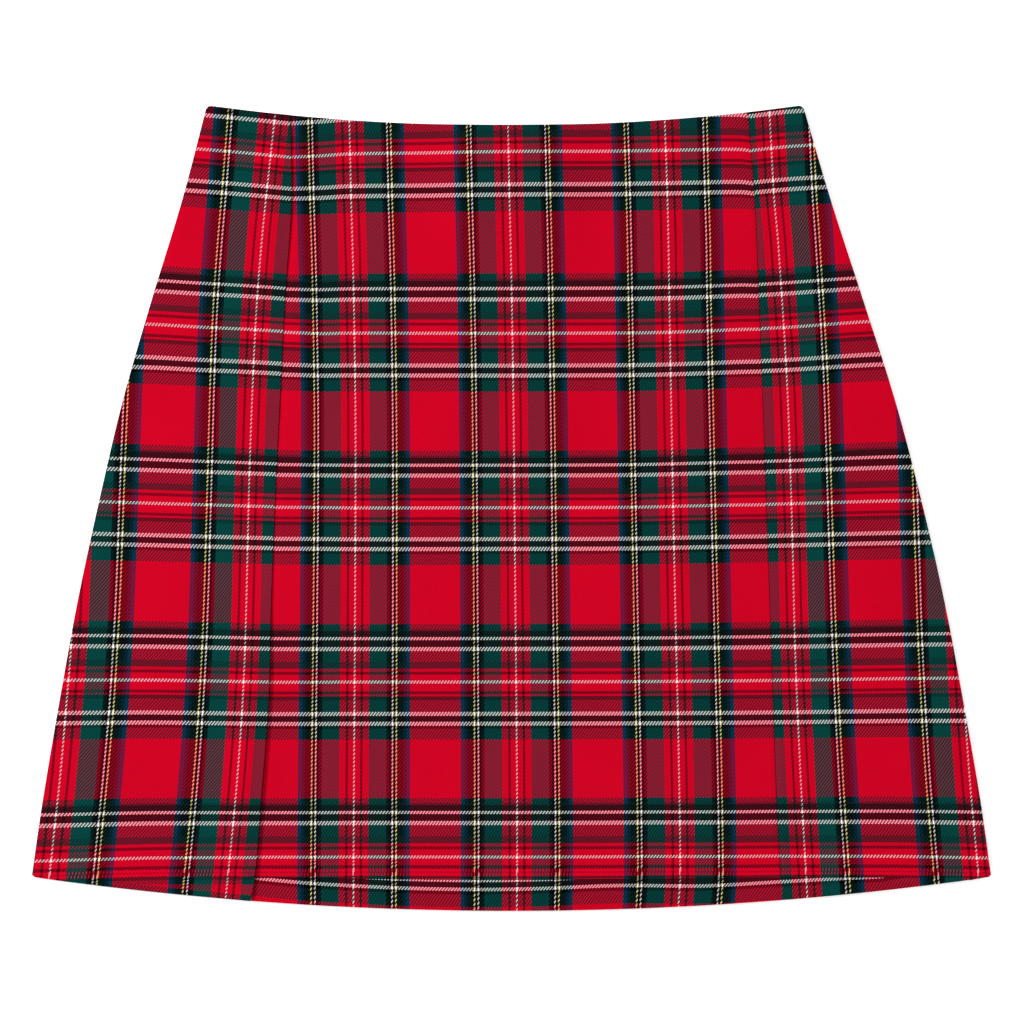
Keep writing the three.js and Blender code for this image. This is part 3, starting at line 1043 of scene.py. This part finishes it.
def left_height(x, y):
    off = left_seam(y) - x
    level = front_level(x, y) + undulation(x, y) + pucker(off, y)
    level += step_at_left_seam(y) * math.exp(-((off / 6.5) ** 2))
    level -= turned_edges(x, y, x - left_edge(y))
    return above_back(level)


def right_height(x, y):
    off = x - right_seam(y)
    level = front_level(x, y) + undulation(x, y) + pucker(off, y + RIGHT_PUCKER_SHIFT)
    level -= pressed(off, RIGHT_ROLL, RIGHT_REACH) + turned_edges(x, y, right_edge(y) - x)
    level -= pressed(y - band_seam(x), SEAM_ROLL, SEAM_REACH)
    return above_back(level)


def right_low(x):
    return max(above_band(x), hem(x))


# %% [markdown]
# ## Sewing the fronts
#
# Each front is sewn from its lines, its heights and its weave. The left one has a
# clean break in its weave, where a strip of the hem shows other stripes.

# %% Sewing the fronts
above_band = beside(band_seam, SEAM_OPENING)
front_centre = sew_panel(
    "centre_front",
    (beside(left_seam, SEAM_OPENING), beside(right_seam, -SEAM_OPENING), above_band, waist),
    (120, 150),
    centre_height,
    centre_weave,
)
front_left = sew_panel(
    "left_side_front",
    (left_edge, beside(left_seam, -SEAM_OPENING), hem, waist),
    (60, 150),
    left_height,
    left_weave,
    breaks=[((0, STRIP_Y, 0), (0, 1, 0))],
)
front_right = sew_panel(
    "right_side_front",
    (beside(right_seam, SEAM_OPENING), right_edge, right_low, waist),
    (60, 150),
    right_height,
    right_weave,
)
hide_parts("front_centre")
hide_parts("front_side_left")
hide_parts("front_side_right")
print("side panel stands", round(step_at_left_seam(-HALF_LENGTH), 1), "mm proud by the hem")

# %% [markdown]
# ## Hem band
#
# A thin crescent that fills the bow of the hem below the centre and right panels.
# It is one strip with its own weave map, and the right princess seam runs on down
# through it, so the map has a break there.

# %% Hem band
BAND_TIP_X = 258.0
BREAK_TOP, BREAK_FOOT = -203, -221


def band_height(x, y):
    off_band = band_seam(x) - y
    level = front_level(x, y) + undulation(x, y) + pucker(off_band, x)
    level -= pressed(off_band, SEAM_ROLL, SEAM_REACH)
    level -= pressed(y - hem(x), EDGE_ROLL, EDGE_REACH)
    level -= pressed(abs(x - right_seam(y)), SEAM_ROLL, SEAM_REACH)
    level -= pressed(x - left_seam(y), SEAM_ROLL, EDGE_REACH)
    return above_back(level)


seam_top, seam_foot = right_seam(BREAK_TOP), right_seam(BREAK_FOOT)
band = sew_panel(
    "hem_band",
    (beside(left_seam, SEAM_OPENING), upright(BAND_TIP_X), hem, beside(band_seam, -SEAM_OPENING)),
    (220, 36),
    band_height,
    band_weave,
    breaks=[((seam_top, BREAK_TOP, 0), (BREAK_TOP - BREAK_FOOT, seam_top - seam_foot, 0))],
    by="x",
)
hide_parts("front_hem_band")
print("band is", round(band_seam(0) - hem(0), 1), "mm deep at its middle")

# %% [markdown]
# ## Backs
#
# Two plain panels that lie face down under the front and meet at the centre-back
# seam. Near the waist they bridge over the zip's slider and pull tab. Elsewhere
# they rest on the surface, and a few low folds lift them where the front leaves room.


# %% Back panels
BACK_FOLDS = chart("""
    from_x  from_y  to_x  to_y  height  spread
    -118    150     -162  20    0.9     14
    -60     40      -92   -150  1.2     20
    -196    -60     -214  -170  0.7     16
    34      60      52    -120  0.8     17
    96      170     128   60    0.7     13
    150     -20     196   -180  1.3     22
    -24     -120    -30   -196  0.9     15
""")
BACK_SEAM_OPENING = 0.1
# How far turnings lift the cloth off the surface, and how far from the edge.
SEAM_LIFT, SIDE_LIFT, END_LIFT = (0.28, 2.4), (0.25, 3.0), (0.12, 3.0)


def front_top(x, y):
    """Upper face of whichever front piece lies over a point."""
    if x < left_seam(y):
        return left_height(x, y)
    if y < band_seam(x):
        return band_height(x, y)
    return right_height(x, y) if x > right_seam(y) else centre_height(x, y)


def back_height(x, y):
    """The back touches the surface, and lifts from it where the front leaves room."""
    off = abs(x - BACK_SEAM_X)
    side = min(x - left_edge(y), right_edge(y) - x)
    end = min(waist(x) - y, y - hem(x))
    level = WALL + bay_rise(x, y) + 0.3 * max(undulation(x + 90, y), 0)
    level += fold_heights(BACK_FOLDS, x, y) * smooth(side, 0, 16)
    level += pressed(off, *SEAM_LIFT) + 0.8 * max(pucker(off, y), 0)
    level += pressed(side, *SIDE_LIFT) + pressed(end, *END_LIFT)
    room = front_top(x, y) - WALL - 0.02
    return max(min(level, room), WALL)


backs = []
for name, node, sides in (
    ("left_back", "back_left", (left_edge, upright(BACK_SEAM_X - BACK_SEAM_OPENING))),
    ("right_back", "back_right", (upright(BACK_SEAM_X + BACK_SEAM_OPENING), right_edge)),
):
    lines = (*sides, hem, waist)
    back = sew_panel(name, lines, (70, 110), back_height, back_weave, wall=WALL)
    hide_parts(node)
    backs.append(back)
print("back lies at", round(back_height(80, 0), 2), "mm by the middle of its right half")

# %% [markdown]
# ## Tape of woven polyester
#
# The tapes are dyed dark red: a fine plain weave of a slightly slippery thread,
# whose ribs catch the light, and whose colour is painted lighter on the rib crowns
# and darker between them, as painted highlight and shade.

# %% Woven tape
TAPE_THREADS = 5 / MM
TAPE_PATCHES = 0.12 / MM  # uneven dye, about 8 mm across


def woven_tape(name):
    """Plain weave at 5 threads a mm: even ribs, their colour painted lighter on the crowns."""
    material, tree = new_material(name)
    body = add(tree, "TexCoord").outputs["Object"]
    place = add(tree, "SeparateXYZ", [body])
    turn = 2 * math.pi * TAPE_THREADS
    across = add(tree, "Math", [place.outputs["X"], turn], operation="MULTIPLY")
    along = add(tree, "Math", [place.outputs["Y"], turn], operation="MULTIPLY")
    warp = add(tree, "Math", [across], operation="SINE")
    weft = add(tree, "Math", [along], operation="SINE")
    height = add(tree, "Math", [warp, weft], operation="MULTIPLY")
    uneven = add(tree, "TexNoise", {"Vector": body, "Scale": TAPE_PATCHES, "Detail": 4.0})
    # Painted highlight and shade: the rib height moves the colour from the darker dye to the lighter
    # one, along with the uneven dye.
    thread = add(tree, "MapRange", [height, -1.0, 1.0, 0.0, 0.8])
    shade = add(tree, "Math", [uneven, 0.4, thread], operation="MULTIPLY_ADD")
    dyes = {MIX_BY: shade, MIX_FROM: linear("#5A0812"), MIX_TO: linear("#8C1222")}
    colour = add(tree, "Mix", dyes, data_type="RGBA").outputs[MIXED]
    relief = add(tree, "Bump", {"Strength": 0.5, "Distance": 0.05 * MM, "Height": height})
    look = {"Base Color": colour, "Roughness": 0.62, "Normal": relief}
    shader = add(tree, "BsdfPrincipled", look)
    add(tree, "OutputMaterial", {"Surface": shader})
    return material


tape_weave = woven_tape("dark_red_polyester_tape")
print(tape_weave.name, "has", len(tape_weave.node_tree.nodes), "nodes")

# %% [markdown]
# ## Coil of nylon and castings under lacquer
#
# The coil is bent nylon line, smooth and half glossy. The slider and tab are
# die-cast zinc under red lacquer, which has a faint orange-peel skin and is rubbed
# through to grey metal in a few spots.

# %% Nylon and lacquer
NYLON_PATCHES = 0.7 / MM  # about 1.5 mm across
RUBBED_SPOTS = 0.62 / MM  # about 1.6 mm across
ORANGE_PEEL = 1.9 / MM  # about 0.5 mm across


def bent_nylon(name):
    """Smooth dyed nylon: half glossy, a little lighter where the dye took less."""
    material, tree = new_material(name)
    body = add(tree, "TexCoord").outputs["Object"]
    uneven = add(tree, "TexNoise", {"Vector": body, "Scale": NYLON_PATCHES, "Detail": 2.0})
    dyes = {MIX_BY: uneven, MIX_FROM: linear("#6A0A16"), MIX_TO: linear("#8A1626")}
    colour = add(tree, "Mix", dyes, data_type="RGBA").outputs[MIXED]
    look = {"Base Color": colour, "Roughness": 0.36, "Specular IOR Level": 0.5}
    shader = add(tree, "BsdfPrincipled", look)
    add(tree, "OutputMaterial", {"Surface": shader})
    return material


def lacquered_zinc(name):
    """Glossy red lacquer with an orange-peel skin, rubbed through in small spots."""
    material, tree = new_material(name)
    body = add(tree, "TexCoord").outputs["Object"]
    spots = add(tree, "TexNoise", {"Vector": body, "Scale": RUBBED_SPOTS, "Detail": 3.0})
    peel = add(tree, "TexNoise", {"Vector": body, "Scale": ORANGE_PEEL, "Detail": 1.0})
    rubbed = add(tree, "MapRange", [spots, 0.7, 0.74, 0.0, 1.0])
    coats = {MIX_BY: rubbed, MIX_FROM: linear("#7E0A16"), MIX_TO: linear("#8F8B86")}
    colour = add(tree, "Mix", coats, data_type="RGBA").outputs[MIXED]
    gloss = add(tree, "MapRange", [spots, 0.3, 0.7, 0.2, 0.42])
    relief = add(tree, "Bump", {"Strength": 0.2, "Distance": 0.02 * MM, "Height": peel})
    look = {"Base Color": colour, "Metallic": rubbed, "Roughness": gloss}
    shader = add(tree, "BsdfPrincipled", {**look, "Normal": relief, "Specular IOR Level": 0.3})
    add(tree, "OutputMaterial", {"Surface": shader})
    return material


coil_nylon = bent_nylon("dark_red_nylon_coil")
lacquer = lacquered_zinc("red_lacquered_zinc")
print(coil_nylon.name, "and", lacquer.name, "are ready")

# %% [markdown]
# ## Zip tapes
#
# A concealed zip lies inside the back, with one woven tape on each side of the
# seam. The tapes part round the slider, and each has a rib near its outer edge.

# %% Zip tapes
SLIDER_Y = waist(BACK_SEAM_X) - 9
TAPE_FOOT = SLIDER_Y - TAPE_LENGTH
TAPE_WALL = 0.45
TAPE_UNDER = 1.7
TAPE_INNER, TAPE_OUTER, TAPE_PARTED = 0.9, 11.9, 2.95  # mm from the seam
PARTED_TO, PARTED_FADE = 4.4, 6.5  # mm along the seam, from the slider's middle
RIB_AT, RIB_HEIGHT = 10.9, 0.12


def tape_head(x):
    return waist(x) - 1


def zip_tape(name, side):
    """side is -1 for the left tape and 1 for the right one."""

    def inner(y):
        apart = 1 - smooth(abs(y - SLIDER_Y), PARTED_TO, PARTED_FADE)
        return BACK_SEAM_X + side * lerp(TAPE_INNER, TAPE_PARTED, apart)

    outer = upright(BACK_SEAM_X + side * TAPE_OUTER)
    left, right = (outer, inner) if side < 0 else (inner, outer)
    bm = bmesh.new()
    bmesh.ops.create_grid(bm, x_segments=12, y_segments=120, size=0.5)
    for vert in bm.verts:
        s, t = vert.co.x + 0.5, vert.co.y + 0.5
        y = lerp(TAPE_FOOT, tape_head(BACK_SEAM_X), t)
        x = lerp(left(y), right(y), s)
        y = lerp(TAPE_FOOT, tape_head(x), t)
        off = abs(x - BACK_SEAM_X)
        rib = RIB_HEIGHT * math.exp(-(((off - RIB_AT) / 0.5) ** 2))
        z = TAPE_UNDER + TAPE_WALL + bay_rise(x, y) + rib
        vert.co = Vector((x, y, z)) * MM
    return finish_cloth(bm, name, TAPE_WALL, 0.1, tape_weave)


tapes = [zip_tape("zip_tape_left", -1), zip_tape("zip_tape_right", 1)]
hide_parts("zip_tape")
print("tapes run from y", round(TAPE_FOOT, 1), "to", round(tape_head(BACK_SEAM_X), 1), "mm")

# %% [markdown]
# ## Coils
#
# The teeth of such a zip are one nylon line wound into a flat spiral along each
# tape's inner edge. The two spirals mesh below the slider, half a turn apart.

# %% Coils
COIL_PITCH = 1.2
COIL_STEPS = 8
LINE_RADIUS, LOOP_RADIUS = 0.17, 0.31
LOOP_WIDENING = 1.9
COIL_ASIDE, COIL_ABOVE = 0.45, 0.47  # mm from the seam, and over the tape's underside


def coil(name, side):
    """Nylon line wound along the inner edge of one tape: a flat spiral spring."""
    foot, head = TAPE_FOOT + 4, SLIDER_Y - PARTED_TO
    turns = int((head - foot) / COIL_PITCH)
    bm = bmesh.new()
    bmesh.ops.create_circle(bm, cap_ends=True, segments=6, radius=LINE_RADIUS)
    bmesh.ops.translate(bm, verts=bm.verts, vec=(LOOP_RADIUS, 0, 0))
    bmesh.ops.spin(
        bm,
        geom=everything(bm),
        cent=(0, 0, 0),
        axis=(0, side, 0),
        dvec=(0, COIL_PITCH / COIL_STEPS, 0),
        angle=2 * math.pi * turns,
        steps=turns * COIL_STEPS,
    )
    bmesh.ops.holes_fill(bm, edges=bm.edges[:], sides=6)
    for vert in bm.verts:
        x = BACK_SEAM_X + side * COIL_ASIDE + LOOP_WIDENING * vert.co.x
        y = foot + vert.co.y + (side + 1) * COIL_PITCH / 4
        z = TAPE_UNDER + COIL_ABOVE + vert.co.z + bay_rise(x, y)
        vert.co = Vector((x, y, z)) * MM
    bmesh.ops.recalc_face_normals(bm, faces=bm.faces[:])
    piece = place_piece(bm, name, coil_nylon)
    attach(piece, "cloth")
    return piece


coils = [coil("zip_coil_left", -1), coil("zip_coil_right", 1)]
print("coil has", len(coils[0].data.polygons), "faces")

# %% [markdown]
# ## Slider
#
# A flat casting with a channel down each side for the coils and a dished top. A
# narrow bridge reaches out through the seam, for the tab to hang on.

# %% Slider
SLIDER_SIZE, SLIDER_LEVEL = (5, 8, 1), 3.9
SLIDER_TAPER = 0.78
BRIDGE_SIZE, BRIDGE_LEVEL = (0.9, 5.2, 0.5), 0.35
LEG_FROM, LEG_RISE = 1.8, 2.9
CAST_CREASE = 35  # degrees, past which an edge of a casting is rounded


def cast_piece(bm, name, rounding, body):
    """A small metal casting, moved from its own origin to the slider's place."""
    bmesh.ops.recalc_face_normals(bm, faces=bm.faces[:])
    for vert in bm.verts:
        vert.co = (vert.co + Vector((BACK_SEAM_X, SLIDER_Y, 0))) * MM
    piece = place_piece(bm, name, lacquer)
    round_edges(piece, "cast_edges", rounding, CAST_CREASE)
    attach(piece, body)
    return piece


def add_block(bm, size, level):
    """A block to carve, centred at a height, returned as its vertices."""
    block = bmesh.ops.create_cube(bm, size=1)["verts"]
    bmesh.ops.scale(bm, vec=Vector(size), verts=block)
    bmesh.ops.translate(bm, vec=Vector((0, 0, level)), verts=block)
    return block


def add_bridge(bm):
    """A bar under the cloth with a leg up to the body at each end."""
    add_block(bm, BRIDGE_SIZE, BRIDGE_LEVEL)
    for y in (-LEG_FROM, LEG_FROM):
        bmesh.ops.bisect_plane(bm, geom=everything(bm), plane_co=(0, y, 0), plane_no=(0, 1, 0))
    bm.normal_update()
    tops = [face for face in bm.faces if face.normal.z > 0.9]
    for end in [face for face in tops if abs(face.calc_center_median().y) > LEG_FROM]:
        grown = bmesh.ops.extrude_face_region(bm, geom=[end])["geom"]
        risen = [item for item in grown if isinstance(item, bmesh.types.BMVert)]
        bmesh.ops.translate(bm, verts=risen, vec=(0, 0, LEG_RISE))
        if end.is_valid:
            bm.faces.remove(end)


def add_body(bm):
    """A tapered plate with a channel in each side and a dished top."""
    block = add_block(bm, SLIDER_SIZE, SLIDER_LEVEL)
    for vert in block:
        if vert.co.y < 0:
            vert.co.x *= SLIDER_TAPER
    faces = list({face for vert in block for face in vert.link_faces})
    for face in faces:
        face.normal_update()
    sides = [face for face in faces if abs(face.normal.x) > 0.9]
    top = [face for face in faces if face.normal.z > 0.9]
    bmesh.ops.inset_individual(bm, faces=sides, thickness=0.27, depth=-0.9)
    bmesh.ops.inset_region(bm, faces=top, thickness=0.8, depth=-0.14)


bm = bmesh.new()
add_bridge(bm)
add_body(bm)
slider = cast_piece(bm, "zip_slider_casting", 0.14, "cloth")
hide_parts("zip_slider")
print("slider has", len(slider.data.polygons), "faces")

# %% [markdown]
# ## Pull tab
#
# A flat teardrop with a window at its neck. The cross bar that closes the window
# turns under the slider's bridge. Both faces have a shallow recess inside a rim.

# %% Pull tab
TAB_LENGTH, TAB_ROUND, TAB_NECK = 18.0, 2.5, 1.6
TAB_THICK, TAB_LEVEL = 0.6, 1.05
BAR_HALF, WINDOW_HALF, WINDOW_END = 0.3, 0.8, 3.4
RECESS_FROM, RECESS_TO = -4.6, -16.9
ROUND_Y = TAB_ROUND - TAB_LENGTH
NECK_ROWS = [BAR_HALF, -BAR_HALF, -1.3, -2.4, -WINDOW_END]
TAPER_ROWS, ROUND_ROWS = 16, 6
TAB_ROWS = len(NECK_ROWS) - 1 + TAPER_ROWS + ROUND_ROWS


def tab_half_width(y):
    """Half width of the teardrop at y below its pivot."""
    if y < ROUND_Y:
        return math.sqrt(max(TAB_ROUND**2 - (y - ROUND_Y) ** 2, 0))
    return lerp(TAB_NECK, TAB_ROUND, smooth(-y, WINDOW_END + 0.6, -ROUND_Y))


def tab_row(row):
    """y of each row of points: even down the taper, then by angle round the end."""
    if row < len(NECK_ROWS):
        return NECK_ROWS[row]
    row -= len(NECK_ROWS) - 1
    if row <= TAPER_ROWS:
        return lerp(-WINDOW_END, ROUND_Y, row / TAPER_ROWS)
    return ROUND_Y - TAB_ROUND * math.sin((row - TAPER_ROWS) / ROUND_ROWS * math.pi / 2)


def in_window(face):
    middle = face.calc_center_median()
    return abs(middle.x) < WINDOW_HALF and -WINDOW_END < middle.y < -BAR_HALF


def in_recess(face):
    return RECESS_TO < face.calc_center_median().y < RECESS_FROM


bm = bmesh.new()
bmesh.ops.create_grid(bm, x_segments=8, y_segments=TAB_ROWS, size=0.5)
for vert in bm.verts:
    y = tab_row(round((0.5 - vert.co.y) * TAB_ROWS))
    vert.co = Vector((2 * vert.co.x * tab_half_width(y), y, 0))
bmesh.ops.remove_doubles(bm, verts=bm.verts, dist=1e-4)
window = [face for face in bm.faces if in_window(face)]
bmesh.ops.delete(bm, geom=window, context="FACES")
bmesh.ops.solidify(bm, geom=bm.faces[:], thickness=TAB_THICK)
middle = sum(vert.co.z for vert in bm.verts) / len(bm.verts)
bmesh.ops.translate(bm, verts=bm.verts, vec=(0, 0, TAB_LEVEL - middle))
bmesh.ops.recalc_face_normals(bm, faces=bm.faces[:])
for sign in (-1, 1):
    flat = [face for face in bm.faces if face.normal.z * sign > 0.9 and in_recess(face)]
    bmesh.ops.inset_region(bm, faces=flat, thickness=0.22, depth=-0.1)
tab = cast_piece(bm, "teardrop_pull_tab", 0.1, "pull_tab")
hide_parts("zip_pull_tab")
print("tab has", len(tab.data.polygons), "faces")

# %% [markdown]
#
# Each panel and each tape is a sheet that was cut flat. The flat size of a panel
# is the box of its cut.


for panel in [front_centre, front_left, front_right, band, *backs]:
    low, high = Vector(panel.bound_box[0]), Vector(panel.bound_box[6])
    flat = (round(high.x - low.x, 3), round(high.y - low.y, 3))
